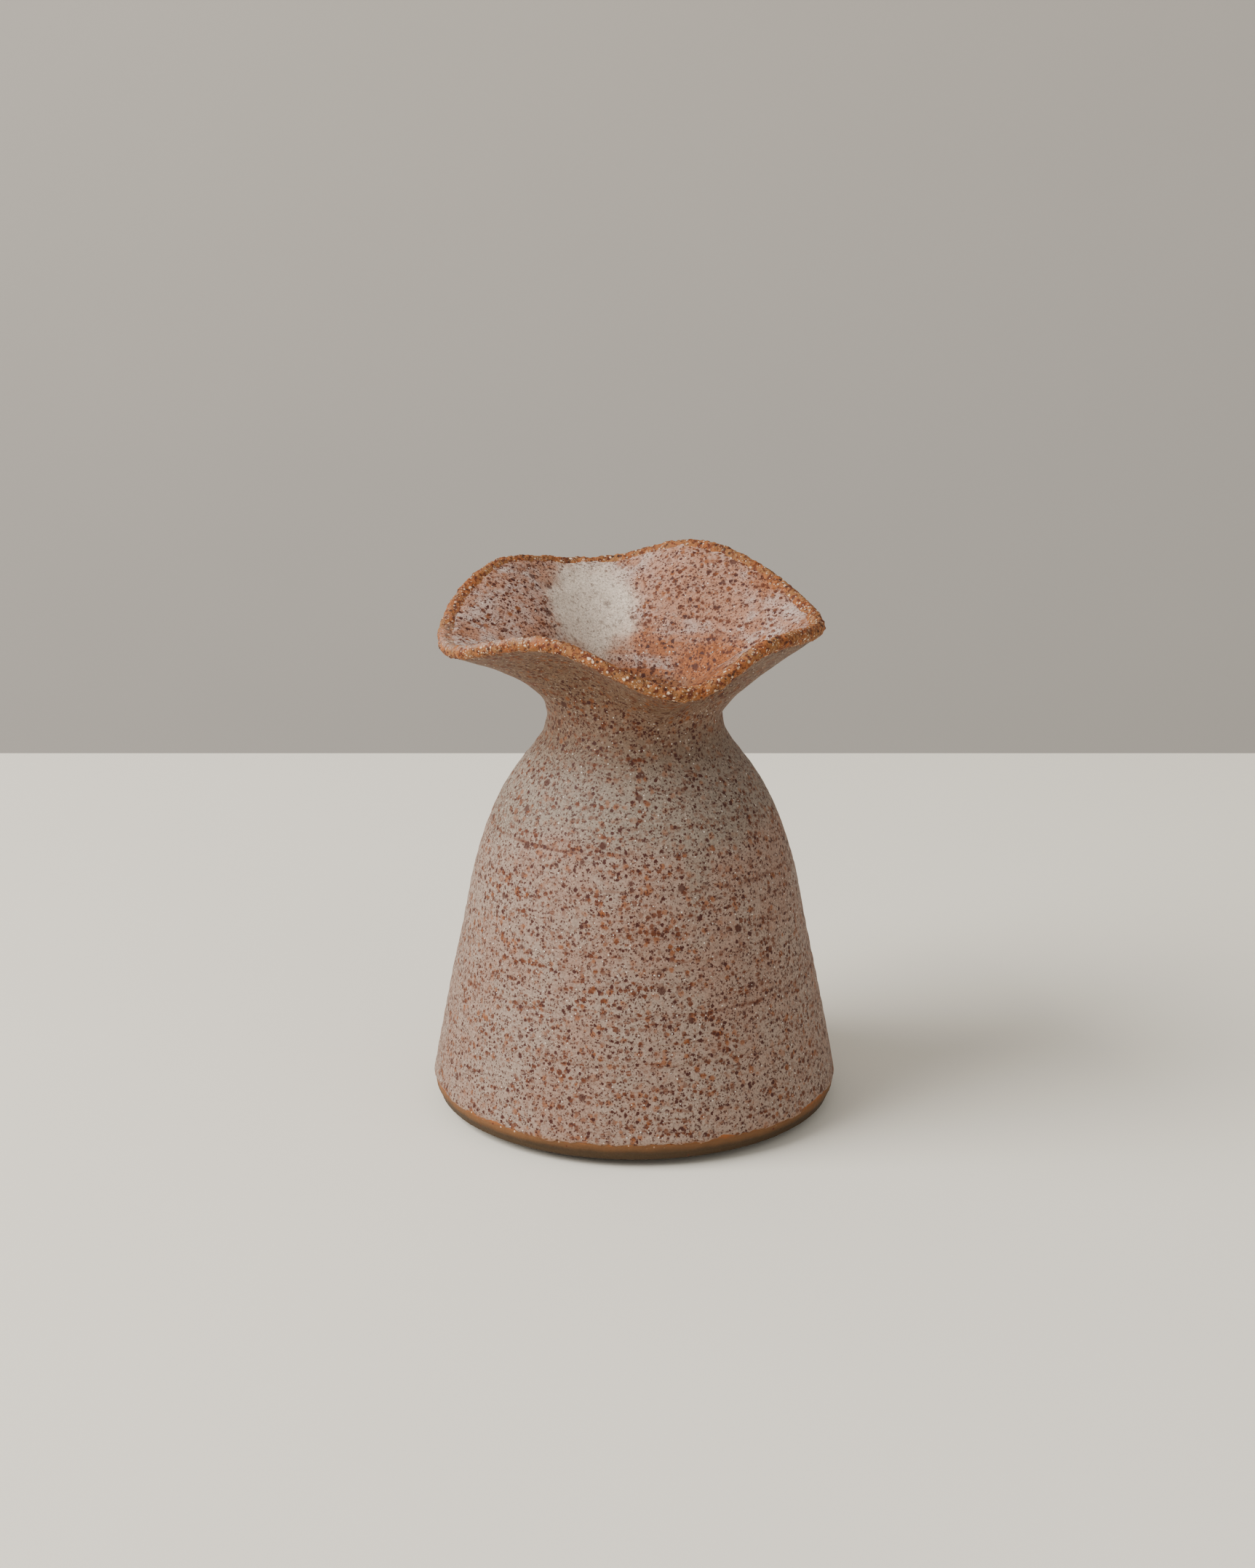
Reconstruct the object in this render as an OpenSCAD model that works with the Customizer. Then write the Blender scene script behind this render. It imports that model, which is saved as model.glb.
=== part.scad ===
// Bud vase: a wheel-thrown clay pot on a low, set-in foot ring, with a bevel above it,
// a tapering body, a narrow neck and a flared lip pulled by hand into four lobes.
// The clay is one piece. A coat of glaze covers it outside and another lines it inside.
// The clay shows bare at the foot and along the lip.
// Origin: centre of the foot. +Z is up, and the drooping lobe of the lip faces -Y.

/* [Body] */
// Widest diameter, at the top of the bevel
body_d = 76; // [74:1:84]
// Diameter of the flat foot
foot_d = 62; // [58:1:69]
// Height of the foot, which is set in under the bevel
foot_h = 1.5; // [1:0.5:2.5]
// Diameter of the bevel's lower edge
bevel_d = 73; // [70:1:73]
// Height of the bevel's upper edge
bevel_h = 4.5; // [3.5:0.5:4.5]
// Height at which the straight taper turns into the shoulder
taper_h = 41; // [36:1:44]
// Diameter at the top of the straight taper
taper_d = 61; // [56:1:64]

/* [Neck] */
// Height of the narrowest point of the neck
neck_h = 74; // [70:1:78]
// Outer diameter of the narrowest point
neck_d = 32; // [28:1:36]
// How far the shoulder goes on in line with the taper before it turns in
shoulder_pull = 25; // [18:0.5:26]
// How far below its narrowest point the neck starts to stand upright
neck_pull = 8; // [6:0.5:11]

/* [Lip] */
// Mean diameter of the lip, through the middle of its edge
lip_d = 66; // [60:1:70]
// Mean height of the lip
lip_h = 92; // [90:0.5:98]
// Share of the hand-made wave that the lip keeps, 0 for a plain round lip
lip_wave = 1; // [0:0.1:1]
// Share of the flare's height over which it rises straight before it opens
flare_rise = 0.4; // [0.3:0.05:0.5]

/* [Wall] */
// Wall thickness of the body
wall_t = 4.2; // [3.5:0.1:5]
// Wall thickness of the neck
neck_t = 3.6; // [3:0.1:4]
// Thickness of the lip, which is fully rounded
lip_t = 2.6; // [2.4:0.1:3.6]
// Thickness of the floor, glaze included
floor_t = 7; // [7:0.5:9]
// Radius of the hollow's bottom corner
corner_r = 8; // [5:1:10]

/* [Glaze] */
// Thickness of the glaze, outside and inside
glaze_t = 0.5; // [0.3:0.1:0.8]
// Height of the line where the outer glaze was wiped off
glaze_line_h = 5; // [5:0.5:6]

/* [Hidden] */

// Lobes and folds of the lip:
// [azimuth, reach beyond the mean, height above the mean, rise beyond the flare's share].
// Azimuth 0 is +X and runs counter-clockwise seen from above.
LIP_WAVE = [
    [10, 0, -1.5, -0.2],        // right lobe
    [66, -1.5, 7, 0],           // high fold at the back
    [101, 1, 3, 0],             // back lobe
    [145, -1, 5, 0.1],          // left back fold
    [195, 1.5, -4, 0.2],        // left lobe
    [244, 0, 1, 0.3],           // left front fold
    [284, 2, -6.5, 0.1],        // drooping front lobe
    [314, 0, -0.5, 0]           // right front fold
];

SEGMENTS = 72;          // round the pot
SHOULDER_STEPS = 10;    // along the shoulder
FLARE_STEPS = 8;        // from the neck to the lip
LIP_STEPS = 4;          // round the edge of the lip
CORNER_STEPS = 3;       // round the hollow's bottom corner
FOOT_SEGMENTS = 144;    // round the foot

body_r = body_d / 2;
taper_r = taper_d / 2;
neck_r = neck_d / 2;
taper_slope = (body_r - taper_r) / (taper_h - bevel_h);
root_h = 0.5;           // height above the bevel's lower edge at which the wall's solid starts
root_in = 1.5;          // how far inside that edge it starts

// Smooth run through one column of the lobes and folds
function lobe(i) = let (n = len(LIP_WAVE), turn = floor(i / n), p = LIP_WAVE[i - n * turn])
    [p[0] + 360 * turn, p[1], p[2], p[3]];
function lobe_before(a, i = 0) = lobe(i + 1)[0] > a ? i : lobe_before(a, i + 1);
function lobe_slope(i, col) = (lobe(i + 1)[col] - lobe(i - 1)[col]) / (lobe(i + 1)[0] - lobe(i - 1)[0]);
function lip_offset(azimuth, col) =
    let (
        a = azimuth < LIP_WAVE[0][0] ? azimuth + 360 : azimuth,
        i = lobe_before(a),
        span = lobe(i + 1)[0] - lobe(i)[0],
        u = (a - lobe(i)[0]) / span
    )
    lobe(i)[col] * (1 + 2 * u) * pow(1 - u, 2)
    + lobe(i + 1)[col] * (3 - 2 * u) * pow(u, 2)
    + span * u * (1 - u) * (lobe_slope(i, col) * (1 - u) - lobe_slope(i + 1, col) * u);

// Middle of the lip's edge at an azimuth, as [radius, height], and the height up to which
// the flare there heads straight up
function lip_middle(a) = [
    lip_d / 2 + lip_wave * lip_offset(a, 1),
    lip_h + lip_wave * lip_offset(a, 2)
];
function flare_turn_h(a) =
    neck_h + (flare_rise + lip_wave * lip_offset(a, 3)) * (lip_middle(a)[1] - neck_h);

// Points on a curve with two, or one, control points
function curve4(p, t) = pow(1 - t, 3) * p[0] + 3 * pow(1 - t, 2) * t * p[1]
    + 3 * (1 - t) * pow(t, 2) * p[2] + pow(t, 3) * p[3];
function curve3(p, t) = pow(1 - t, 2) * p[0] + 2 * (1 - t) * t * p[1] + pow(t, 2) * p[2];

// Unit direction of a line of points at point i, and the line moved to its right by
// d_start at its first point up to d_end at its last
function unit(v) = v / norm(v);
function heading(line, i) = unit(line[min(i + 1, len(line) - 1)] - line[max(i - 1, 0)]);
function right_of(v) = [v[1], -v[0]];
function moved(line, d_start, d_end) = let (last = len(line) - 1) [
    for (i = [0:last]) line[i] + right_of(heading(line, i)) * (d_start + (d_end - d_start) * i / last)
];
function backwards(line) = [for (i = [len(line) - 1:-1:0]) line[i]];
function without_first(line) = [for (i = [1:len(line) - 1]) line[i]];

// Outlines in the plane of one azimuth, as [radius, height], running up the outside,
// over the lip and down the inside, so that the right-hand side is always out of the clay
shoulder = [
    for (i = [0:SHOULDER_STEPS]) curve4([
        [taper_r, taper_h],
        [taper_r - taper_slope * shoulder_pull, taper_h + shoulder_pull],
        [neck_r, neck_h - neck_pull],
        [neck_r, neck_h]
    ], i / SHOULDER_STEPS)
];
glaze_start = [body_r - taper_slope * (glaze_line_h - bevel_h), glaze_line_h];

function flare(a) = [
    for (i = [0:FLARE_STEPS]) curve3([
        [neck_r - neck_t / 2, neck_h],
        [neck_r - neck_t / 2, flare_turn_h(a)],
        lip_middle(a)
    ], i / FLARE_STEPS)
];
function outside(a) = concat(
    [glaze_start],
    shoulder,
    without_first(moved(flare(a), neck_t / 2, lip_t / 2))
);
function lip_edge(a) =
    let (middle = flare(a), ahead = heading(middle, FLARE_STEPS), out = right_of(ahead))
    [
        for (i = [0:LIP_STEPS]) let (turn = 180 * i / LIP_STEPS)
            middle[FLARE_STEPS] + lip_t / 2 * (cos(turn) * out + sin(turn) * ahead)
    ];

inner_shoulder = moved(shoulder, -wall_t, -neck_t);
floor_edge_r = inner_shoulder[0][0] + taper_slope * (inner_shoulder[0][1] - floor_t);
corner = [
    for (i = [0:CORNER_STEPS]) curve3([
        [floor_edge_r - taper_slope * corner_r, floor_t + corner_r],
        [floor_edge_r, floor_t],
        [floor_edge_r - corner_r, floor_t]
    ], i / CORNER_STEPS)
];
function inside(a) = concat(
    backwards(without_first(moved(flare(a), -neck_t / 2, -lip_t / 2))),
    backwards(inner_shoulder),
    corner,
    [[(floor_edge_r - corner_r) / 2, floor_t]]
);

// A solid from one outline at each azimuth. An open outline starts and ends on the axis,
// at the heights of its first and last points. A ring outline closes on itself.
module turned(outlines, ring) {
    m = len(outlines[0]);
    rim_points = [
        for (k = [0:SEGMENTS - 1], p = outlines[k])
            [p[0] * cos(360 * k / SEGMENTS), p[0] * sin(360 * k / SEGMENTS), p[1]]
    ];
    axis_points = ring ? [] : [[0, 0, outlines[0][0][1]], [0, 0, outlines[0][m - 1][1]]];
    wall = [
        for (k = [0:SEGMENTS - 1], j = [0:ring ? m - 1 : m - 2])
            let (next = (k + 1) % SEGMENTS, up = (j + 1) % m)
            each [
                [k * m + j, k * m + up, next * m + up],
                [k * m + j, next * m + up, next * m + j]
            ]
    ];
    ends = ring ? [] : [
        for (k = [0:SEGMENTS - 1]) let (next = (k + 1) % SEGMENTS)
            each [
                [SEGMENTS * m, k * m, next * m],
                [k * m + m - 1, SEGMENTS * m + 1, next * m + m - 1]
            ]
    ];
    polyhedron(concat(rim_points, axis_points), concat(wall, ends), convexity = 6);
}

function azimuths() = [for (k = [0:SEGMENTS - 1]) 360 * k / SEGMENTS];

// The foot as a true disc: flat face, set-in edge, bevel, and the bare band up to the
// wiped line
module foot() {
    rotate_extrude($fn = FOOT_SEGMENTS)
        polygon([
            [0, 0],
            [foot_d / 2, 0],
            [foot_d / 2, foot_h],
            [bevel_d / 2, foot_h],
            [body_r, bevel_h],
            glaze_start,
            [0, glaze_line_h]
        ]);
}

// The thrown pot: the foot, the wall set back under the glaze, and the bare lip.
// The wall starts inside the foot, so the two are one piece of clay.
module clay_body() {
    color("#b5764a")
        union() {
            foot();
            turned([
                for (a = azimuths()) concat(
                    [[bevel_d / 2 - root_in, foot_h + root_h]],
                    moved(outside(a), -glaze_t, -glaze_t),
                    lip_edge(a),
                    moved(inside(a), -glaze_t, -glaze_t)
                )
            ], false);
        }
}

// The outer coat, from the wiped line above the foot to the underside of the lip
module outer_glaze() {
    color("#b9a08c")
        turned([
            for (a = azimuths()) concat(
                outside(a),
                backwards(moved(outside(a), -glaze_t, -glaze_t))
            )
        ], true);
}

// The liner, from the top of the lip's edge down through the neck and over the floor
module inner_glaze() {
    color("#cbb9b0")
        turned([
            for (a = azimuths()) concat(
                backwards(moved(inside(a), -glaze_t, -glaze_t)),
                inside(a)
            )
        ], false);
}

clay_body();
outer_glaze();
inner_glaze();
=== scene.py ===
import bpy
import numpy as np
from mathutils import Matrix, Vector, noise


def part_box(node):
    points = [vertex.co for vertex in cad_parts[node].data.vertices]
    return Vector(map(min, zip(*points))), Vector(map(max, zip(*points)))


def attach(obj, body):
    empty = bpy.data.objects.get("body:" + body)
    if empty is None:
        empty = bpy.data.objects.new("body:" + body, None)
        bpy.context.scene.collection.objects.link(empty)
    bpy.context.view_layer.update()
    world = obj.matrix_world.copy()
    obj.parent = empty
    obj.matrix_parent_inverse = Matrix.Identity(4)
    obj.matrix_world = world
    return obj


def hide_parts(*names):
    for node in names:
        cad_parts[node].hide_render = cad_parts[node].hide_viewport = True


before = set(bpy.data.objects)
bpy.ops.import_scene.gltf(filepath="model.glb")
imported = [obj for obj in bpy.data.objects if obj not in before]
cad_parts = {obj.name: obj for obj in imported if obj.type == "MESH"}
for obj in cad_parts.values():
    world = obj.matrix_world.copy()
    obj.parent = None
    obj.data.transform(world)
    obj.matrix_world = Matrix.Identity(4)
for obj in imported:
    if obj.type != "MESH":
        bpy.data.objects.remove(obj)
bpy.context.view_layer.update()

# ---------------------------------------------------------------------------------------
# The clay pot: one wall of sandy stoneware thrown on a wheel, from a low set-in foot and
# a trimmed bevel up to a flared lip. The lip was pulled by hand into four lobes while wet.
# The clay stays bare under the foot, on the bevel and along the edge of the lip.
# Every size is in mm, and MM turns it into the scene's metres.
MM = 0.001
belly_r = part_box("clay_body")[1].x / MM
foot_r, foot_h = 31.0, 1.5
bevel_r, bevel_h = 36.5, 4.5
taper_r, taper_h = 30.5, 41.0
neck_r, neck_h = 16.0, 74.0
shoulder_pull, neck_pull = 25.0, 8.0
lip_r, lip_h = 33.0, 92.0
flare_rise = 0.4
wall_t, neck_t, lip_t, floor_t = 4.2, 3.6, 2.6, 7.0
corner_r = 8.0
glaze_t = 0.5
taper_slope = (belly_r - taper_r) / (taper_h - bevel_h)
clay_azimuths, glaze_azimuths = 680, 408
corner_steps, edge_steps = 24, 17
front_lobe_at, left_lobe_at = 296, 225

# azimuth, reach beyond the mean, height above the mean, rise beyond the flare's share
lobes = np.array([
    (10, 0, -1.5, -0.2),
    (66, -1.5, 7, 0),
    (101, 1, 3, 0),
    (145, -1, 5, 0.1),
    (195, 1.5, -4, 0.2),
    (244, 0, 1, 0.3),
    (284, 2, -6.5, 0.1),
    (314, 0, -0.5, 0),
])


def lobe_run(azimuth, column):
    """One column of the lobes as a smooth run round the lip."""
    at = np.concatenate([lobes[-2:, 0] - 360, lobes[:, 0], lobes[:3, 0] + 360])
    held = np.concatenate([lobes[-2:, column], lobes[:, column], lobes[:3, column]])
    slope = (held[2:] - held[:-2]) / (at[2:] - at[:-2])
    i = np.searchsorted(at, azimuth, side="right") - 1
    span = at[i + 1] - at[i]
    u = (azimuth - at[i]) / span
    return (
        held[i] * (1 + 2 * u) * (1 - u) ** 2
        + held[i + 1] * (3 - 2 * u) * u**2
        + span * u * (1 - u) * (slope[i - 1] * (1 - u) - slope[i] * u)
    )


def around(count):
    """Azimuths in degrees, evenly spaced round the pot."""
    return np.arange(count) * 360 / count


def bow(ends, t):
    """Points and directions along a curve pulled by the points between its ends."""
    t = t[..., None]
    if len(ends) == 3:
        a, b, c = ends
        return (
            (1 - t) ** 2 * a + 2 * (1 - t) * t * b + t**2 * c,
            2 * (1 - t) * (b - a) + 2 * t * (c - b),
        )
    a, b, c, d = ends
    return (
        (1 - t) ** 3 * a + 3 * (1 - t) ** 2 * t * b + 3 * (1 - t) * t**2 * c + t**3 * d,
        3 * (1 - t) ** 2 * (b - a) + 6 * (1 - t) * t * (c - b) + 3 * t**2 * (d - c),
    )


def outward(direction):
    """The side of the clay that faces out, when its outline runs up outside and down inside."""
    turned = np.stack([direction[..., 1], -direction[..., 0]], -1)
    return turned / np.linalg.norm(turned, axis=-1, keepdims=True)


def low_line():
    """The set-in foot, bevel and straight taper as one fine line with eased corners."""
    corners = np.array([
        (foot_r, 0.0), (foot_r, foot_h), (bevel_r, foot_h), (belly_r, bevel_h),
        (taper_r, taper_h),
    ])
    ease_back, ease_ahead = (0.3, 0.2, 0.3, 1.2), (0.3, 0.2, 0.3, 13.0)
    past_ease = 0.2
    run = np.linspace(0, 1, corner_steps)
    line = []
    before = corners[0] - (1, 0)
    for corner, after, back_by, ahead_by in zip(
        corners[:-1], corners[1:], ease_back, ease_ahead,
    ):
        back, ahead = before - corner, after - corner
        line.append(bow([
            corner + back_by * back / np.linalg.norm(back), corner,
            corner + ahead_by * ahead / np.linalg.norm(ahead),
        ], run)[0])
        before = corner
    taper = corners[-1] - corners[-2]
    straight_from = (ease_ahead[-1] + past_ease) / np.linalg.norm(taper)
    line.append(corners[-2] + np.linspace(straight_from, 1, 50)[:, None] * taper)
    line = np.concatenate(line)
    length = np.concatenate([[0], np.cumsum(np.linalg.norm(np.diff(line, axis=0), axis=1))])
    return line, length


low, low_length = low_line()
low_facing = outward(np.gradient(low, low_length, axis=0))


def on_low(length):
    """Place and facing at a length along the low line."""
    place = np.stack([np.interp(length, low_length, low[:, k]) for k in (0, 1)], -1)
    facing = np.stack([np.interp(length, low_length, low_facing[:, k]) for k in (0, 1)], -1)
    return place, facing / np.linalg.norm(facing, axis=-1, keepdims=True)


def shoulder(t, share_in=0.0):
    """The shoulder from the taper to the neck, on the outside or set in by the wall."""
    place, direction = bow([
        np.array([taper_r, taper_h]),
        np.array([taper_r - taper_slope * shoulder_pull, taper_h + shoulder_pull]),
        np.array([neck_r, neck_h - neck_pull]),
        np.array([neck_r, neck_h]),
    ], t)
    facing = outward(direction)
    wall = share_in * (wall_t + (neck_t - wall_t) * t)
    return place - facing * wall[..., None], facing


def flare(azimuth, t, side):
    """The flare from neck to lip: side 1 is its outside, -1 its inside, 0 its middle."""
    lip = np.stack([lip_r + lobe_run(azimuth, 1), lip_h + lobe_run(azimuth, 2)], -1)[:, None]
    turn_h = neck_h + (flare_rise + lobe_run(azimuth, 3))[:, None] * (lip[..., 1] - neck_h)
    start = np.broadcast_to(np.array([neck_r - neck_t / 2, neck_h]), lip.shape)
    turn = np.stack([np.full_like(turn_h, neck_r - neck_t / 2), turn_h], -1)
    place, direction = bow([start, turn, lip], np.broadcast_to(t, (len(azimuth), len(t))))
    facing = outward(direction)
    half = (neck_t + (lip_t - neck_t) * t) / 2
    return place + side * facing * half[None, :, None], facing * (side or 1)


def lip_edge(azimuth, turn):
    """Round the lip's edge, from the outside, turn 0, to the inside, turn 180 degrees."""
    place, facing = flare(azimuth, np.array([1.0]), 0)
    ahead = np.stack([-facing[..., 1], facing[..., 0]], -1)
    a = np.radians(turn)[None, :, None]
    out = np.cos(a) * facing + np.sin(a) * ahead
    return place + lip_t / 2 * out, out


def hollow(t_corner, t_floor):
    """The hollow's taper foot, its bottom corner and its floor, run downwards and inwards."""
    top = shoulder(np.array([0.0]), 1)[0][0]
    edge_r = top[0] + taper_slope * (top[1] - floor_t)
    corner, turning = bow([
        np.array([edge_r - taper_slope * corner_r, floor_t + corner_r]),
        np.array([edge_r, floor_t]),
        np.array([edge_r - corner_r, floor_t]),
    ], t_corner)
    floor = np.stack([(edge_r - corner_r) * (1 - t_floor), np.full_like(t_floor, floor_t)], -1)
    return (
        np.concatenate([corner, floor]),
        np.concatenate([outward(turning), np.tile([0.0, 1.0], (len(floor), 1))]),
    )


def rounds(azimuth, profile):
    """A profile that is the same at every azimuth, repeated for each."""
    place, facing = profile
    shape = (len(azimuth),) + place.shape
    return np.broadcast_to(place, shape), np.broadcast_to(facing, shape)


def joined(*profiles):
    """Profiles run on one after another."""
    return (
        np.concatenate([p[0] for p in profiles], 1),
        np.concatenate([p[1] for p in profiles], 1),
    )


def flipped(profile, sign=1):
    """A profile run the other way, which faces the other way too where the sign is -1."""
    return profile[0][:, ::-1], sign * profile[1][:, ::-1]


def in_space(azimuth, outline):
    """An outline of radius and height at each azimuth, as points."""
    a = np.radians(azimuth)[:, None]
    return np.stack([
        outline[..., 0] * np.cos(a), outline[..., 0] * np.sin(a), outline[..., 1],
    ], -1)


def unevenness(points, grain, seed=0.0):
    """Smooth random height, about -0.6 to 0.6, whose bumps are as wide as the grain in mm."""
    flat = (points.reshape(-1, 3) / grain + seed).tolist()
    return np.array([noise.noise(p) for p in flat]).reshape(points.shape[:-1])


def eased(x):
    """0 up to 0, 1 from 1 on, eased between them."""
    x = np.clip(x, 0, 1)
    return x * x * (3 - 2 * x)


def turned_piece(name, azimuth, outline, closed_ring, marks):
    """A mesh from an outline at each azimuth. An open one is capped at its two ends."""
    count, steps = outline.shape[:2]
    points = in_space(azimuth, outline).reshape(-1, 3)
    here = np.arange(count)[:, None]
    step = np.arange(steps if closed_ring else steps - 1)[None, :]
    beside, up = (here + 1) % count, (step + 1) % steps
    faces = np.stack([
        here * steps + step, beside * steps + step, beside * steps + up, here * steps + up,
    ], -1).reshape(-1, 4).tolist()
    if not closed_ring:
        first_end, last_end = len(points), len(points) + 1
        ends = [[0, 0, outline[0, 0, 1]], [0, 0, outline[0, -1, 1]]]
        points = np.concatenate([points, ends])
        for i in range(count):
            after = (i + 1) % count
            faces.append([first_end, after * steps, i * steps])
            faces.append([last_end, i * steps + steps - 1, after * steps + steps - 1])
    mesh = bpy.data.meshes.new(name)
    mesh.from_pydata((points * MM).tolist(), [], faces)
    mesh.shade_smooth()
    for mark, values in marks.items():
        held = mesh.attributes.new(mark, "FLOAT", "POINT")
        spread = np.broadcast_to(values, outline.shape[:2]).reshape(-1)
        at_ends = np.zeros(len(points) - len(spread))
        held.data.foreach_set("value", np.append(spread, at_ends))
    piece = bpy.data.objects.new(name, mesh)
    bpy.context.scene.collection.objects.link(piece)
    return piece


def crust_reach(azimuth):
    """How far the bare crust runs back from the lip: most in front, least at the left."""
    front = np.clip(np.cos(np.radians(azimuth - front_lobe_at)), 0, 1)
    left = np.clip(np.cos(np.radians(azimuth - left_lobe_at)), 0, 1)
    return (0.5 + 1.5 * front**3 - 0.5 * left**4)[:, None]


def length_from(outline, column):
    """Distance along each outline from one of its points, in mm."""
    steps = np.linalg.norm(np.diff(outline, axis=1), axis=2)
    run = np.concatenate([np.zeros((len(outline), 1)), np.cumsum(steps, 1)], 1)
    return np.abs(run - run[:, column : column + 1])


clay_round = around(clay_azimuths)
bevel_from = 3 * corner_steps
to_bevel_top = np.interp(bevel_h, low[bevel_from:, 1], low_length[bevel_from:])
foot_run = np.linspace(0, to_bevel_top + 4.0, 40)
foot_part = rounds(clay_round, on_low(foot_run))
under_r = np.linspace(0.06, 1, 14)[:-1] * low[0, 0]
under = rounds(clay_round, (
    np.stack([under_r, np.zeros_like(under_r)], -1), np.tile([0.0, -1.0], (len(under_r), 1)),
))
buried_low = rounds(clay_round, on_low(np.linspace(to_bevel_top + 5.0, low_length[-1], 8)))
buried_shoulder = rounds(clay_round, shoulder(np.linspace(0, 1, 12)[1:]))
near_lip = 1 - np.linspace(1, 0, 24)[:-1] ** 1.6
outer_flare = flare(clay_round, near_lip[1:], 1)
edge = lip_edge(clay_round, np.linspace(0, 180, edge_steps))
inner_flare = flipped(flare(clay_round, near_lip[1:], -1))
buried_inner = flipped(rounds(clay_round, shoulder(np.linspace(0, 1, 12), 1)), -1)
buried_floor = rounds(clay_round, hollow(np.linspace(0, 1, 6), np.linspace(0, 0.95, 6)[1:]))
clay_line, clay_facing = joined(
    under, foot_part, buried_low, buried_shoulder, outer_flare, edge,
    inner_flare, buried_inner, buried_floor,
)
lip_first = sum(
    part[0].shape[1]
    for part in (under, foot_part, buried_low, buried_shoulder, outer_flare)
)
lip_last = lip_first + edge_steps - 1
to_outer_lip = length_from(clay_line, lip_first)
to_inner_lip = length_from(clay_line, lip_last)
column = np.arange(clay_line.shape[1])
from_lip = np.where(
    column < lip_first, to_outer_lip, np.where(column > lip_last, to_inner_lip, 0),
)
foot_first = under[0].shape[1]
on_table = column < foot_first
from_foot = np.where(on_table, 0, length_from(clay_line, foot_first))
bare_at_lip = 1 - eased((from_lip - 0.2 - 0.5 * crust_reach(clay_round)) / 1.8)
bare_at_foot = 1 - eased((from_foot - to_bevel_top - 0.9) / 1.2)
space = in_space(clay_round, clay_line)
grit = (
    0.22 * unevenness(space, 0.70)
    + 0.15 * unevenness(space, 0.42, 7.3)
    + 0.22 * unevenness(space, 2.4, 3.1)
)
radius, up_clay = clay_line[..., 0], clay_line[..., 1]
trim_pitch, sole_ring_pitch, sole_rim = 0.55, 1.9, 4
clear_of_glaze = 0.12
trimming = 0.03 * np.sin(2 * np.pi * up_clay / trim_pitch + 2 * unevenness(space, 6.0, 1.7))
set_in = (
    -glaze_t * (1 - np.maximum(bare_at_lip, bare_at_foot))
    - clear_of_glaze * bare_at_foot * eased(up_clay - foot_h)
)
foot_grain = 0.05 * unevenness(space, 0.9, 5.0) + trimming * (up_clay > 0.5)
proud = set_in + bare_at_lip * (grit - clear_of_glaze) + bare_at_foot * foot_grain
sole_rings = 0.05 * (1 + np.sin(2 * np.pi * radius / sole_ring_pitch))
sole_rings = sole_rings * (radius < foot_r - sole_rim)
proud = np.where(on_table, -0.02 - sole_rings, proud)
clay_shape = clay_line + clay_facing * proud[..., None]
clay_shape[..., 1] = np.maximum(clay_shape[..., 1], 0)
over_edge = eased((column - lip_first - 7.5) / 4)
washed = over_edge[None, :] * eased((0.5 - crust_reach(clay_round)) / 0.4)
washed = washed * eased(0.9 + 1.4 * unevenness(space, 2.0, 12.0))
clay = turned_piece("thrown_clay", clay_round, clay_shape, False, {"washed": washed})


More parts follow.
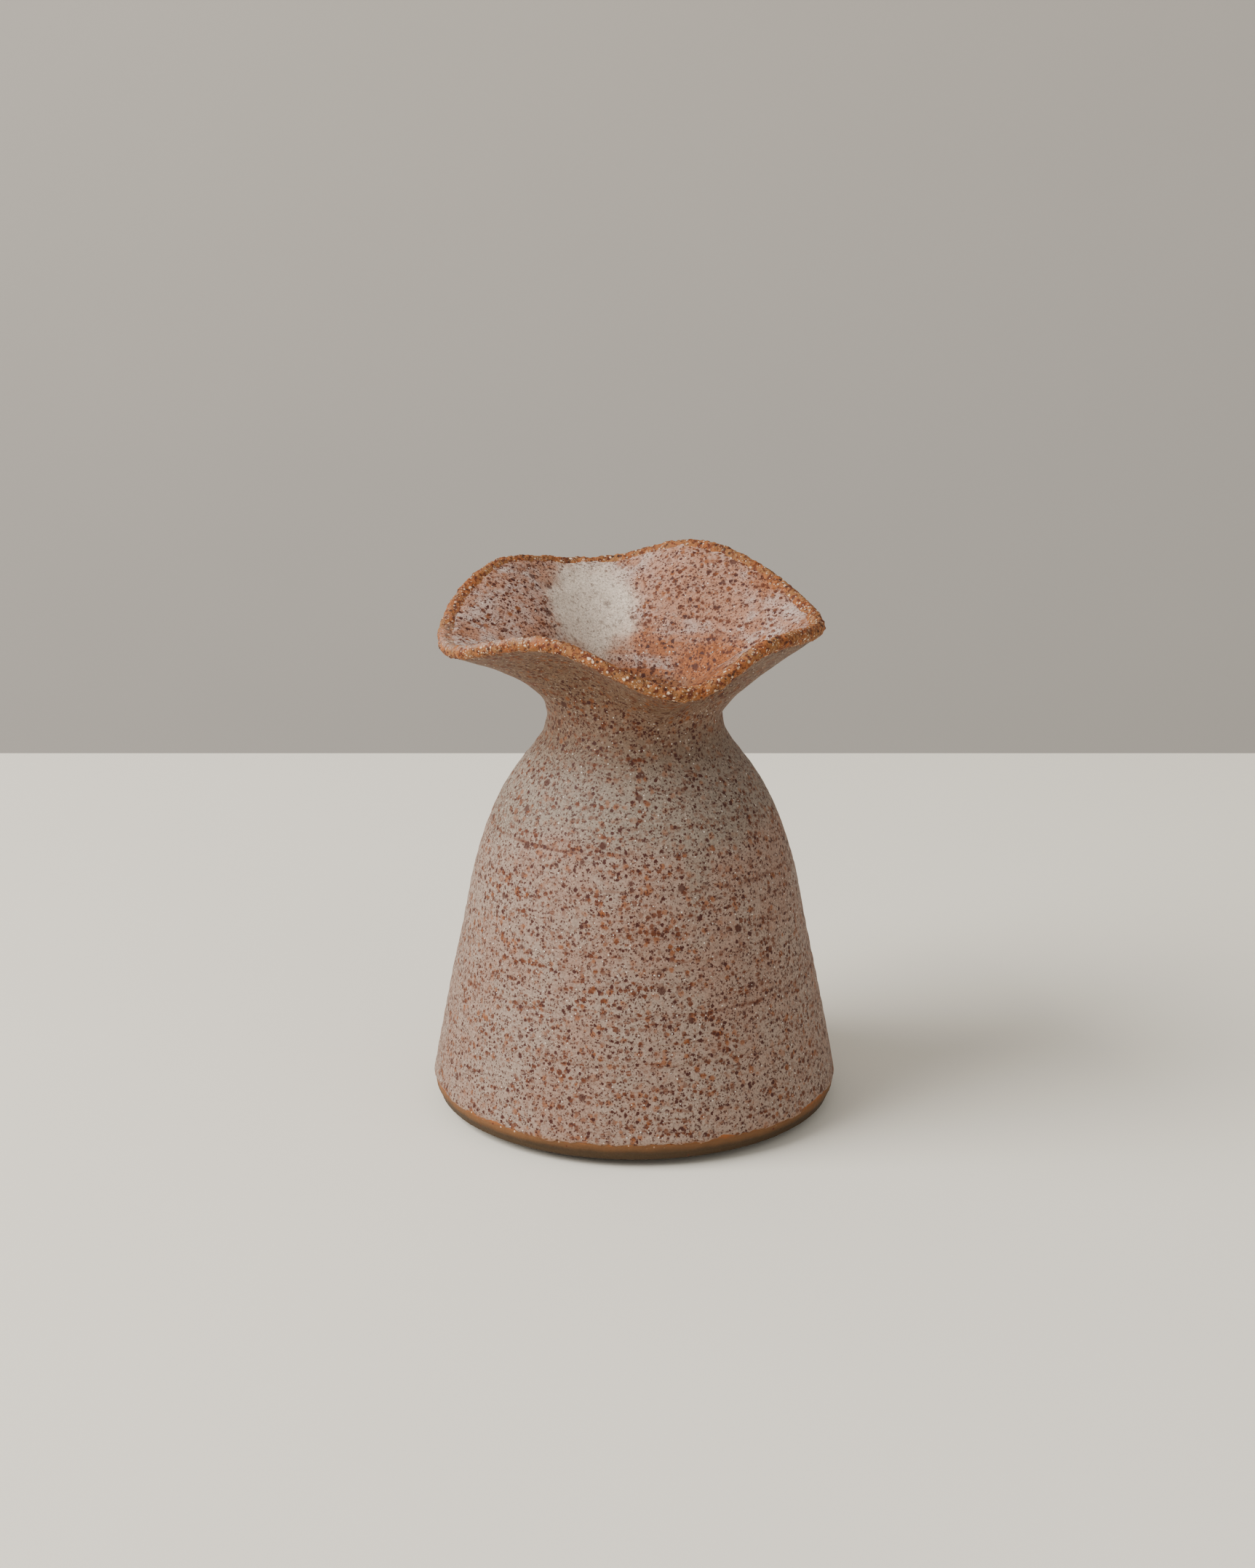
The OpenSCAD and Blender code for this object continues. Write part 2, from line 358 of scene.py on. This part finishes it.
class Wet:
    """A value, colour or direction in a finish. Sums on it add the nodes that work them out."""

    def __init__(self, tree, socket=None):
        self.tree, self.socket = tree, socket

    def node(self, kind, settings=None, sockets=None, out=0):
        made = self.tree.nodes.new("ShaderNode" + kind)
        for name, value in (settings or {}).items():
            setattr(made, name, value)
        for name, value in (sockets or {}).items():
            if isinstance(value, Wet):
                self.tree.links.new(value.socket, made.inputs[name])
            else:
                made.inputs[name].default_value = value
        return Wet(self.tree, made.outputs[out])

    def maths(self, operation, a, b=0.0):
        return self.node("Math", {"operation": operation}, {0: a, 1: b})

    def __add__(self, other):
        return self.maths("ADD", self, other)

    __radd__ = __add__

    def __sub__(self, other):
        return self.maths("SUBTRACT", self, other)

    def __rsub__(self, other):
        return self.maths("SUBTRACT", other, self)

    def __mul__(self, other):
        return self.maths("MULTIPLY", self, other)

    __rmul__ = __mul__

    def __truediv__(self, other):
        return self.maths("DIVIDE", self, other)

    def most(self, other):
        return self.maths("MAXIMUM", self, other)

    def between(self, low, high):
        """0 at low, 1 at high, eased between them."""
        return self.node(
            "MapRange", {"interpolation_type": "SMOOTHSTEP"},
            {"Value": self, "From Min": low, "From Max": high},
        )

    def over(self, base, colour):
        """The base colour, with another laid over it as far as this mask says."""
        return self.node("Mix", {"data_type": "RGBA"}, {0: self, 6: base, 7: colour}, 2)

    def shading(self, colour):
        """A colour made darker or lighter by this value around 1."""
        grey = self.node("CombineColor", {}, {0: self, 1: self, 2: self})
        settings = {"data_type": "RGBA", "blend_type": "MULTIPLY"}
        return self.node("Mix", settings, {0: 1.0, 6: colour, 7: grey}, 2)

    def scaled(self, by):
        """This place with each of its coordinates multiplied."""
        return self.node("VectorMath", {"operation": "MULTIPLY"}, {0: self, 1: by})

    def moved(self, by):
        return self.node("VectorMath", {"operation": "ADD"}, {0: self, 1: by})

    def strayed(self, grain, by, detail, centre=(0, 0, 0)):
        """This place, seen from a centre, led astray in waves as wide as the grain in mm."""
        wander = self.node("TexNoise", {}, {
            "Vector": self.scaled((1 / (grain * MM),) * 3), "Scale": 1.0, "Detail": detail,
        }, 1)
        return self.node("VectorMath", {"operation": "MULTIPLY_ADD"}, {
            0: wander, 1: (by * MM,) * 3, 2: self.moved(tuple(-c * MM for c in centre)),
        })

    def cloud(self, grain, detail=2.0, rough=0.5, stretch=(1, 1, 1)):
        """Soft random value, 0 to 1, with features as wide as the grain in mm."""
        place = self.scaled(tuple(s / (grain * MM) for s in stretch))
        return self.node("TexNoise", {}, {
            "Vector": place, "Scale": 1.0, "Detail": detail, "Roughness": rough,
        })

    def specks(self, spacing, smallest, largest, share, edge=0.1, offset=0.0):
        """Scattered round specks, sizes in mm: 1 inside a speck, 0 between them."""
        place = self.scaled((1 / (spacing * MM),) * 3).moved((offset,) * 3)
        cells = self.node("TexVoronoi", {}, {"Vector": place, "Scale": 1.0})
        tint = Wet(self.tree, cells.socket.node.outputs["Color"])
        pick = tint.node("SeparateColor", {}, {0: tint})
        size = smallest / spacing + (largest - smallest) / spacing * pick
        chance = Wet(self.tree, pick.socket.node.outputs[1])
        there = chance.maths("LESS_THAN", chance, share)
        soft = (size - cells) / (edge / spacing) + 0.5
        return there * soft.node("Clamp", {}, {"Value": soft})


def finish_of(name):
    """A new material, with the place on the piece to work from."""
    material = bpy.data.materials.new(name)
    material.use_nodes = True
    tree = material.node_tree
    tree.nodes.clear()
    start = Wet(tree)
    return material, start, start.node("TexCoord", out=3)


def fired(material, start, colour, roughness, height, depth, sheen=0.3):
    """Closes a finish: its shader, with the bump that its surface has."""
    bump = start.node("Bump", {}, {"Height": height, "Strength": 1.0, "Distance": depth * MM})
    skin = start.node("BsdfPrincipled", {}, {
        "Base Color": colour, "Roughness": roughness, "Normal": bump,
        "Specular IOR Level": sheen,
    })
    end = start.tree.nodes.new("ShaderNodeOutputMaterial")
    start.tree.links.new(skin.socket, end.inputs["Surface"])
    return material


def mark_of(start, name):
    """A value that the mesh holds at each of its points."""
    return start.node("Attribute", {"attribute_name": name}, {}, 2)


TOASTED = (0.270, 0.082, 0.020, 1)
OCHRE = (0.235, 0.100, 0.032, 1)
# painted shade on the down-facing bevel and the set-in foot
FOOT_SHADE_OLIVE = (0.050, 0.027, 0.010, 1)
FOOT_TAN = (0.145, 0.062, 0.021, 1)
SOLE_BUFF = (0.230, 0.112, 0.046, 1)
# the clay's cream grit, also used as painted glints on the bevel's edge and the lip's beads
GRIT_AND_GLINT_CREAM = (0.70, 0.50, 0.34, 1)
GLAZE_WASH = (0.36, 0.255, 0.205, 1)
CHAR = (0.030, 0.008, 0.004, 1)
SIENNA = (0.085, 0.018, 0.005, 1)


def lip_crust(place):
    """Colour and height of the toasted, gritty clay along the lip, with painted shade and
    highlight on its crumbs.
    """
    warm = place.cloud(2.6, 3).between(0.35, 0.65).over(TOASTED, OCHRE)
    deep = place.cloud(1.1, 3, 0.6).between(0.50, 0.62).over(warm, SIENNA)
    # painted shade and highlight: the crumbs' colour runs from dark to light with the same
    # noise that raises them
    crumbs = place.cloud(0.55, 3, 0.7)
    deep = (0.1 + 1.9 * crumbs).shading(deep)
    # painted shade: the low gaps between the crumbs, sunk in the height below, are painted dark
    # sienna
    shaded_gaps = place.cloud(0.8, 2, 0.6).between(0.56, 0.66)
    deep = (shaded_gaps * 0.85).over(deep, SIENNA)
    # the cream granules are the clay's grit, raised in the height and painted pale, partly as
    # highlights on the beads
    granules = place.specks(0.85, 0.14, 0.34, 0.60, 0.12, 4.1)
    fine = place.specks(0.42, 0.07, 0.17, 0.45, 0.08, 1.9)
    patchy = place.cloud(2.2, 2).between(0.36, 0.60)
    pale = (granules * (0.20 + 0.75 * patchy)).most(fine * (0.25 + 0.6 * patchy))
    dark = place.specks(1.05, 0.16, 0.36, 0.50, 0.12, 8.8)
    colour = (dark * 0.85).over(pale.over(deep, GRIT_AND_GLINT_CREAM), CHAR)
    return colour, granules * 0.9 + fine * 0.5 + crumbs * 1.2 - 0.5 * shaded_gaps


material, start, place = finish_of("bare_stoneware")
crust, crust_height = lip_crust(place)
height_up = start.node("SeparateXYZ", {}, {0: place}, 2)
turning = place.cloud(0.7, 3, 0.6, (0.08, 0.08, 1))
# painted shade: below about 3 mm the bare clay of the bevel and the set-in foot faces down and
# is painted dark olive
out_of_foot_shade = (height_up + place.cloud(3.0, 1) * (0.8 * MM)).between(3.1 * MM, 4.9 * MM)
bare = out_of_foot_shade.over(FOOT_SHADE_OLIVE, FOOT_TAN)
toast_line = (height_up + place.cloud(1.4, 2) * (1.0 * MM)).between(4.8 * MM, 5.8 * MM)
bare = toast_line.over(bare, TOASTED)
# cream specks along the bevel's upper edge: partly the clay's grit, partly painted glints where
# the edge turns to the light
grit_and_edge_glints = place.specks(1.1, 0.10, 0.24, 0.35, 0.1, 2.2)
grit_and_edge_glints = grit_and_edge_glints * height_up.between(3.9 * MM, 4.9 * MM)
bare = grit_and_edge_glints.over(bare, GRIT_AND_GLINT_CREAM)
sole = 1 - height_up.between(0.1 * MM, 0.5 * MM)
bare = (0.8 + 0.4 * turning).shading(sole.over(bare, SOLE_BUFF))
bare = place.specks(1.6, 0.10, 0.30, 0.35, 0.1, 6.4).over(bare, SIENNA)
at_lip = height_up.between(20 * MM, 30 * MM)
wash = mark_of(start, "washed") * place.cloud(0.7, 3, 0.6).between(0.34, 0.52)
crust = (wash * 0.75).over(crust, GLAZE_WASH)
colour = at_lip.over(bare, crust)
height = at_lip * crust_height + (1 - at_lip) * (turning * 0.6 + place.cloud(0.4, 2) * 0.5)
rough = 0.62 + 0.2 * place.cloud(0.5, 1)
clay.data.materials.append(fired(material, start, colour, rough, height, 0.16))
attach(clay, "root")
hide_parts("clay_body")

# ---------------------------------------------------------------------------------------
# The outer coat: a satin, sandy white glaze dipped over the thrown wall and fired until
# the iron in the clay bled through it as specks. It ends in a ragged rolled edge where it
# was wiped off above the foot, and thins out over the toasted edge of the lip.
coat_round = around(glaze_azimuths)
at_bevel = np.broadcast_to([belly_r, bevel_h], (glaze_azimuths, 1, 2))
coat_space = in_space(coat_round, at_bevel)
ragged = (
    0.9 * unevenness(coat_space, 14, 2.0) + 0.7 * unevenness(coat_space, 3.2, 4.0)
    + 0.5 * unevenness(coat_space, 1.3, 9.0)
)
wiped_at = to_bevel_top + 0.8 * ragged
steps_up = np.concatenate([
    [0, 0.05, 0.11, 0.18, 0.27, 0.38, 0.52, 0.7, 0.95, 1.3], np.linspace(1.75, 35.0, 72),
])
share_up = steps_up / steps_up[-1]
up_low = wiped_at + (low_length[-1] - wiped_at) * share_up[None, :]
coat_low = on_low(up_low)
coat_shoulder = rounds(coat_round, shoulder(np.linspace(0, 1, 76)[1:]))
coat_flare = flare(coat_round, np.linspace(0, 1, 56)[1:], 1)
coat_line, coat_facing = joined(coat_low, coat_shoulder, coat_flare)
coat_from_lip = length_from(coat_line, coat_line.shape[1] - 1)
coat_from_foot = length_from(coat_line, 0)
space = in_space(coat_round, coat_line)

# height of each scored line, depth of its cut, azimuth at which it starts
scored_lines = (
    (18.0, 0.07, 200), (26.5, 0.13, 150), (33.0, 0.06, 40), (40.5, 0.08, 250),
    (47.5, 0.10, 170), (54.0, 0.12, 100), (58.5, 0.07, 220), (65.0, 0.07, 300),
)
deepest_cut = max(cut for height, cut, start_at in scored_lines)
ring_pitch = 3.3
scored_climb, scored_half_width, scored_arc = 1.6, 0.30, 250


def thrown_rings(azimuth, line, space, depth):
    """The rings that fingers left in the turning wall, one long screw, and the scored lines."""
    turns = azimuth[:, None] / 360
    wander = 0.5 * unevenness(space, 16, 6.0)
    screw = np.sin(2 * np.pi * (line[..., 1] / ring_pitch - turns + wander))
    strength = 0.5 + 0.9 * unevenness(space, 11, 8.0)
    rings = depth * screw * np.clip(strength, 0.1, 1.2)
    lines = np.zeros_like(rings)
    for height, cut, start_at in scored_lines:
        lead = (azimuth[:, None] - start_at) % 360
        above = line[..., 1] - height - lead / 360 * scored_climb
        scored = np.exp(-((above / scored_half_width) ** 2))
        scored = scored * eased(lead / 30) * eased((scored_arc - lead) / 60)
        rings, lines = rings - cut * scored, np.maximum(lines, cut / deepest_cut * scored)
    return rings, lines


def thinned_to(to_crust, space, seed):
    """The share of its thickness that a glaze keeps where it runs out at the crust."""
    return eased((to_crust + 1.2 * unevenness(space, 2.4, seed) + 0.2) / 1.6)


bead = eased(coat_from_foot / 0.5) ** 0.5
coat_to_crust = coat_from_lip - crust_reach(coat_round)
thinning = thinned_to(coat_to_crust, space, 3.3)
coat_rings, coat_scored = thrown_rings(coat_round, coat_line, space, 0.07)
roll = 0.10 * np.exp(-(((coat_from_foot - 0.9) / 0.8) ** 2))
coat_proud = (
    coat_rings
    + 0.16 * unevenness(space, 13, 1.0)
    + 0.05 * unevenness(space, 1.5, 2.0)
    + roll
)
sunk_at_foot, sunk_at_lip, keyed = 0.48, 0.40, 0.08
coat_outer = coat_line + coat_facing * (
    coat_proud * bead * thinning - sunk_at_foot * (1 - bead) - sunk_at_lip * (1 - thinning)
)[..., None]
back_columns = np.unique(np.linspace(0, coat_line.shape[1] - 1, 26).astype(int))[::-1]
coat_back = (coat_line - coat_facing * (glaze_t + keyed))[:, back_columns]
coat_shape = np.concatenate([coat_outer, coat_back], 1)
coat = turned_piece("outer_coat", coat_round, coat_shape, True, {
    "to_crust": np.concatenate([coat_to_crust, coat_to_crust[:, back_columns]], 1),
    "scored": np.concatenate([coat_scored, coat_scored[:, back_columns]], 1),
})

SAND_PINK = (0.254, 0.161, 0.120, 1)
ASH_GREY = (0.270, 0.196, 0.154, 1)
RUST = (0.098, 0.023, 0.0055, 1)
AMBER = (0.200, 0.058, 0.012, 1)
OXBLOOD = (0.045, 0.0065, 0.002, 1)
IRON_BROWN = (0.050, 0.009, 0.003, 1)
# painted glints
PAINTED_GLINT = (0.80, 0.72, 0.62, 1)
MEAL = (0.34, 0.255, 0.195, 1)
# painted shade on the neck and under the flare
SHADE_TAN = (0.125, 0.068, 0.034, 1)
# the shoulder's paler glaze, darkened with painted shade from the flare
PALE_GLAZE_IN_SHADE = (0.205, 0.167, 0.130, 1)


def specked_glaze(place, base, freckled, quiet, scored):
    """The glaze's base colour with the iron's specks in it, its height and its roughness.

    freckled brings out the rusty freckles, quiet fades all the dark specks, and scored
    says where a scored line lets the iron through."""
    loose = place.strayed(0.35, 0.65, 2.0)
    sand = place.cloud(0.36, 3, 0.7)
    body = (0.20 + 1.6 * sand).shading(base)
    meal = place.specks(0.62, 0.10, 0.26, 0.55, 0.16, 6.2)
    body = (meal * 0.5).over(body, MEAL)
    streaks = place.cloud(0.9, 3, 0.65, (0.07, 0.07, 1)).between(0.50, 0.62)
    patches = place.cloud(4.0, 2).between(0.38, 0.62)
    rust = loose.specks(1.1, 0.20, 0.55, 0.80, 0.22, 0.7)
    amber = loose.specks(1.4, 0.25, 0.62, 0.65, 0.28, 3.9)
    fades = 1 - quiet
    rust_seen = rust * (0.36 + 0.45 * patches + 0.5 * streaks) * (0.65 + freckled) * fades
    body = rust_seen.over(body, RUST)
    body = (amber * (0.30 + 0.5 * patches) * (0.55 + freckled) * fades).over(body, AMBER)
    body = (streaks * place.cloud(0.9, 2).between(0.45, 0.62) * 0.5 * fades).over(body, RUST)
    broken = place.cloud(1.4, 3, 0.6).between(0.38, 0.58)
    body = (scored.between(0.10, 0.90) * broken * 0.8).over(body, RUST)
    fine = loose.specks(0.47, 0.08, 0.22, 0.74, 0.06, 5.5)
    middling = loose.specks(1.10, 0.16, 0.40, 0.48, 0.10, 9.1)
    pepper = loose.cloud(0.50, 2.5, 0.65).between(0.61, 0.67)
    large = loose.specks(3.4, 0.35, 0.80, 0.38, 0.25, 2.4)
    body = (fine * (0.92 - 0.6 * quiet)).over(body, OXBLOOD)
    body = (middling * (1 - 0.6 * quiet)).over(body, OXBLOOD)
    body = (pepper * (0.85 - 0.7 * quiet)).over(body, OXBLOOD)
    body = (large * 0.85 * (1 - 0.5 * quiet)).over(body, IRON_BROWN)
    # painted highlights: tiny pale specks in the colour stand in for the glaze's glints, which
    # are also made glossier and raised
    glint_specks = place.specks(0.80, 0.05, 0.14, 0.35, 0.06, 7.7)
    body = (glint_specks * 0.8).over(body, PAINTED_GLINT)
    pits = fine.most(middling).most(pepper)
    height = sand * 0.5 + place.cloud(1.2, 2) * 0.5 - 0.35 * pits + 0.4 * glint_specks
    rough = 0.60 + 0.16 * sand - 0.25 * glint_specks - 0.06 * pits
    return body, height, rough


material, start, place = finish_of("specked_satin_glaze")
up = start.node("SeparateXYZ", {}, {0: place}, 2)
broad = place.cloud(17, 2)
tint = (place.cloud(5.0, 3) * 0.5 + broad * 0.5).between(0.40, 0.60).over(SAND_PINK, ASH_GREY)
below_neck = 1 - (up + broad * (10 * MM)).between(74 * MM, 80 * MM)
# the paler, greyer glaze on the shoulder and in a run down it, also painted darker as the shade
# that the flare casts
shaded_pale_shoulder = (up + broad * (14 * MM)).between(59 * MM, 67 * MM) * below_neck
run_at, run_half_width = 13.2 * MM, 2.6 * MM
across = start.node("SeparateXYZ", {}, {0: place})
run = (across + place.cloud(6, 2) * (4 * MM) - run_at) / run_half_width
run_down = (1 - run * run).between(0.0, 0.9) * up.between(40 * MM, 52 * MM)
run_down = run_down * (1 - up.between(62 * MM, 70 * MM))
pale = shaded_pale_shoulder.most(run_down * 0.75)
tint = (pale * 0.8).over(tint, PALE_GLAZE_IN_SHADE)
# painted shade: the neck and the flare's underside, overhung by the flare and facing down, are
# painted a darker tan
shaded_neck = (up + broad * (8 * MM)).between(68 * MM, 76 * MM)
shaded_flare_underside = (up + broad * (6 * MM)).between(76 * MM, 83 * MM)
tint = (shaded_neck * 0.6).most(shaded_flare_underside * 0.8).over(tint, SHADE_TAN)
scored = mark_of(start, "scored")
colour, height, rough = specked_glaze(
    place, tint, 0.45 + 0.25 * shaded_flare_underside - 0.2 * pale, pale * 0.08, scored,
)


def crusted(start, place, colour, height, bare_to):
    """A glaze's colour and height with the lip's crust showing through it along its edge."""
    from_crust = mark_of(start, "to_crust") + place.cloud(1.2, 3, 0.6) * 4.0
    crusty = 1 - from_crust.between(bare_to, bare_to + 1.0)
    crust, crust_height = lip_crust(place)
    return crusty.over(colour, crust), height * (1 - crusty) + crust_height * crusty


colour, height = crusted(start, place, colour, height, 1.6)
foot_mask = 1 - (up + place.cloud(1.5, 2) * (1.6 * MM)).between(4.9 * MM, 6.1 * MM)
colour = (foot_mask * 0.55).over(colour, OCHRE)
coat.data.materials.append(fired(material, start, colour, rough, height, 0.10))
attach(coat, "root")
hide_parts("outer_glaze")

# ---------------------------------------------------------------------------------------
# The liner: the same glaze poured inside and swirled out over the lip. It lies thick and
# creamy where it ran down the back of the flare, and breaks to rust where it is thin.
liner_round = around(glaze_azimuths)
rise = np.linspace(0, 1, 62)
inner_rise = flipped(flare(liner_round, rise[1:], -1))
inner_shoulder = flipped(rounds(liner_round, shoulder(np.linspace(0, 1, 56), 1)), -1)
top = shoulder(np.array([0.0]), 1)[0][0]
base_line, base_facing = hollow(np.linspace(0, 1, 18), np.linspace(0, 0.97, 26)[1:])
wall_down = np.linspace(0, 1, 40)[1:-1, None]
straight = top + (base_line[0] - top) * wall_down
straight_facing = np.broadcast_to(base_facing[0], straight.shape)
inner_low = rounds(liner_round, (
    np.concatenate([straight, base_line]), np.concatenate([straight_facing, base_facing]),
))
liner_line, liner_facing = joined(inner_rise, inner_shoulder, inner_low)
liner_from_lip = length_from(liner_line, 0)
space = in_space(liner_round, liner_line)
liner_to_crust = liner_from_lip - crust_reach(liner_round)
thinning = thinned_to(liner_to_crust, space, 5.3)
axis_fade = eased(liner_line[..., 0] / 5)
liner_rings, liner_scored = thrown_rings(liner_round, liner_line, space, 0.09)
liner_proud = axis_fade * (
    liner_rings
    + 0.14 * unevenness(space, 11, 4.0)
    + 0.05 * unevenness(space, 1.5, 6.0)
)
liner_inner = liner_line + liner_facing * (
    liner_proud * thinning - sunk_at_lip * (1 - thinning)
)[..., None]
back_columns = np.unique(np.linspace(0, liner_line.shape[1] - 1, 30).astype(int))[::-1]
liner_back = (liner_line - liner_facing * (glaze_t + keyed))[:, back_columns]
liner_shape = np.concatenate([liner_back, liner_inner], 1)
liner = turned_piece("inner_liner", liner_round, liner_shape, False, {
    "to_crust": np.concatenate([liner_to_crust[:, back_columns], liner_to_crust], 1),
    "scored": np.concatenate([liner_scored[:, back_columns], liner_scored], 1),
})

material, start, place = finish_of("poured_liner_glaze")
LAVENDER = (0.42, 0.315, 0.270, 1)
MILK = (0.56, 0.470, 0.380, 1)
BLUSH = (0.33, 0.160, 0.098, 1)


def pool(place, centre, size, soft=0.35):
    """A rounded patch in the glaze with a wandering edge, centre and half size in mm."""
    away = place.strayed(5, 7, 3.0, tuple(c + 3.5 for c in centre))
    away = away.scaled(tuple(1 / (s * MM) for s in size))
    far = away.node("VectorMath", {"operation": "LENGTH"}, {0: away}, 1)
    return 1 - far.between(1 - soft, 1 + soft)


up = start.node("SeparateXYZ", {}, {0: place}, 2)
mottled = place.cloud(3.2, 3, 0.55) * 0.6 + place.cloud(12, 2) * 0.4
tint = mottled.between(0.38, 0.58).over(LAVENDER, BLUSH)
milk = pool(place, (-8, 19, 90), (8, 14, 11))
blush = pool(place, (9, 22, 93), (11, 10, 8))
blush = blush.most(pool(place, (-20, 8, 90), (7, 9, 5)) * 0.5)
toast = pool(place, (12.5, 9, 80.5), (7, 7, 5))
toast = toast.most(pool(place, (27, 20, 94), (6, 6, 4)) * 0.8)
toast = toast.most(pool(place, (9, -26, 84), (14, 8, 6)))
tint = (blush * 0.75).over(tint, BLUSH)
tint = (milk * 0.95).over(tint, MILK)
throat = 1 - up.between(83.5 * MM, 87.5 * MM)
rings = place.cloud(1.5, 2, 0.5, (0.05, 0.05, 1)).between(0.41, 0.51)
tint = (toast * 0.97).most(throat * rings * 0.85 * (1 - milk)).over(tint, TOASTED)
# painted shade: the inside of the neck, deep in the pot, is painted darker with the foot's tan
throat_shade = (1 - up.between(77 * MM, 79 * MM)) * up.between(66 * MM, 72 * MM)
tint = (throat_shade * 0.6).over(tint, FOOT_TAN)
colour, height, rough = specked_glaze(
    place, tint, 0.40 + 0.35 * blush + 0.6 * toast, milk, mark_of(start, "scored"),
)
colour, height = crusted(start, place, colour, height, 1.5)
liner.data.materials.append(fired(material, start, colour, rough, height, 0.10))
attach(liner, "root")
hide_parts("inner_glaze")

# ---------------------------------------------------------------------------------------
# The stage: a matt pale table top, and a plain warm-grey wall standing off behind it, lit
# by one large soft lamp at the left, a faint one at the right and the light of the room.
# Its sizes are in metres.
table_side, table_front, table_back = 1.6, -1.2, 0.243
wall_side, wall_foot, wall_top, wall_at = 2.5, -0.8, 2.2, 0.75


def sheet_at(name, corners, colour, roughness):
    """A flat sheet of the stage with a faintly clouded, matt finish."""
    mesh = bpy.data.meshes.new(name)
    mesh.from_pydata(corners, [], [[0, 1, 2, 3]])
    sheet = bpy.data.objects.new(name, mesh)
    bpy.context.scene.collection.objects.link(sheet)
    material, start, place = finish_of(name + "_finish")
    tone = (0.985 + 0.03 * place.cloud(60, 2)).shading(colour)
    grain = place.cloud(0.8, 2)
    sheet.data.materials.append(fired(material, start, tone, roughness, grain, 0.01))


sheet_at("table", [
    (-table_side, table_front, 0), (table_side, table_front, 0),
    (table_side, table_back, 0), (-table_side, table_back, 0),
], (0.80, 0.76, 0.665, 1), 0.75)
sheet_at("back_wall", [
    (-wall_side, wall_at, wall_foot), (wall_side, wall_at, wall_foot),
    (wall_side, wall_at, wall_top), (-wall_side, wall_at, wall_top),
], (0.40, 0.37, 0.33, 1), 0.9)


def lamp(name, place, aim, size, power, colour):
    """A soft square lamp, turned to its aim."""
    light = bpy.data.lights.new(name, "AREA")
    light.size, light.energy, light.color = size, power, colour
    body = bpy.data.objects.new(name, light)
    body.location = place
    body.rotation_euler = (Vector(aim) - Vector(place)).to_track_quat("-Z", "Y").to_euler()
    bpy.context.scene.collection.objects.link(body)


DAYLIGHT = (1.0, 0.98, 0.95)
lamp("window", (-1.15, -0.40, 1.05), (0, 0, 0.04), 1.1, 46, DAYLIGHT)
lamp("bounce", (0.9, -0.9, 0.7), (0, 0, 0.05), 1.2, 3, DAYLIGHT)
world = bpy.data.worlds.new("room_light")
bpy.context.scene.world = world
world.use_nodes = True
sky = world.node_tree.nodes["Background"]
sky.inputs["Color"].default_value = (1.0, 0.985, 0.96, 1)
sky.inputs["Strength"].default_value = 0.60

camera = bpy.data.cameras.new("studio_camera")
camera.lens, camera.sensor_width = 50, 30
camera.clip_start, camera.clip_end = 0.02, 20
looking_down = 15.87
stand = bpy.data.objects.new("studio_camera", camera)
stand.location = (-0.0013, -0.4620, 0.1915)
stand.rotation_euler = (np.radians(90 - looking_down), 0, 0)
bpy.context.scene.collection.objects.link(stand)
bpy.context.scene.camera = stand
